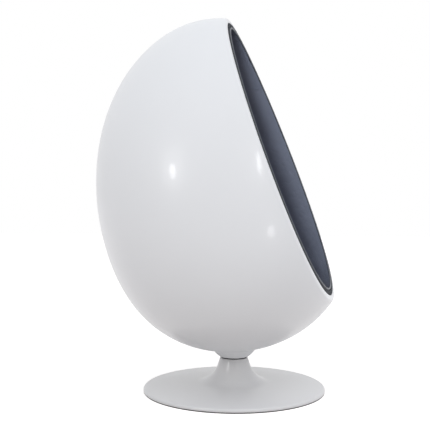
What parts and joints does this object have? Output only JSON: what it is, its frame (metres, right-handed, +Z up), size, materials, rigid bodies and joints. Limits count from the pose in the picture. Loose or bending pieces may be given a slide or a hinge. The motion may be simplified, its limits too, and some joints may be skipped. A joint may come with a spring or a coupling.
{
  "type": "swivel pod chair",
  "caption": "Egg-shaped lounge chair: glossy white shell with one leaning oval opening, padded dark lining and loose cushions, turning on a trumpet floor base with a ball thrust bearing.",
  "frame": {"origin": "on the floor under the swivel axis, at the centre of the base's floor ring", "axes": "+Z up along the swivel axis, -Y out of the opening (front), X across the chair"},
  "size_m": [0.8729, 0.7823, 1.2259],
  "materials": {
    "shell_gelcoat": "white gelcoat over glass-fibre laminate, high gloss",
    "base_paint": "white enamel on spun steel, gloss",
    "floor_rubber": "matt black moulded rubber",
    "seal_rubber": "satin black moulded rubber",
    "plate_paint": "black primer on steel plate",
    "turned_steel": "turned steel, fine lathe marks",
    "zinc_steel": "bright zinc plate",
    "race_steel": "ground bearing steel",
    "ball_steel": "polished bearing steel",
    "cast_alloy": "machined aluminium casting",
    "bush_bronze": "bearing bronze, satin",
    "board_plywood": "birch plywood, unfinished",
    "bearer_wood": "planed pine block, unfinished",
    "tack_plastic": "black extruded plastic strip",
    "trim_leatherette": "dark slate leatherette pulled over foam",
    "welt_leatherette": "slate leatherette piping",
    "lining_leatherette": "slate blue-grey leatherette over foam, fine grain",
    "cushion_leatherette": "slate blue-grey leatherette cover, fine grain",
    "strip_fabric": "black hook-and-loop tape"
  },
  "bodies": {
    "base": {"base_trumpet": "base_paint", "floor_ring": "floor_rubber", "ballast_plate": "plate_paint", "flange_screws": "zinc_steel", "column": "turned_steel", "neck_collar": "cast_alloy", "collar_screws": "zinc_steel", "lower_bush": "bush_bronze", "upper_bush": "bush_bronze", "lower_race": "race_steel"},
    "bearing_cage": {"bearing_cage": "bush_bronze", "bearing_balls": "ball_steel"},
    "pod": {"outer_shell": "shell_gelcoat", "hub_plate": "plate_paint", "spindle": "turned_steel", "spindle_washer": "zinc_steel", "retaining_ring": "zinc_steel", "upper_race": "race_steel", "neck_seal": "seal_rubber", "clamp_plate": "plate_paint", "bolt_washers": "zinc_steel", "mounting_bolts": "zinc_steel", "bearer_left": "bearer_wood", "bearer_right": "bearer_wood", "bearer_front": "bearer_wood", "bearer_back": "bearer_wood", "seat_board": "board_plywood", "board_screws": "zinc_steel", "tack_strip": "tack_plastic", "rim_trim": "trim_leatherette", "rim_welt": "welt_leatherette", "lining_crown": "lining_leatherette", "lining_back": "lining_leatherette", "lining_left": "lining_leatherette", "lining_right": "lining_leatherette", "seat_strips": "strip_fabric", "seat_cushion": "cushion_leatherette", "back_strips": "strip_fabric", "back_cushion": "cushion_leatherette"}
  },
  "joints": [
    {"name": "swivel", "type": "hinge", "parent": "base", "child": "pod", "pos_m": [0, 0, 0.088], "axis": [0, 0, 1], "continuous": true},
    {"name": "cage_roll", "type": "hinge", "parent": "base", "child": "bearing_cage", "pos_m": [0, 0, 0.088], "axis": [0, 0, 1], "continuous": true}
  ],
  "couplings": [
    {"joint": "cage_roll", "follows": "swivel", "ratio": 0.5}
  ]
}
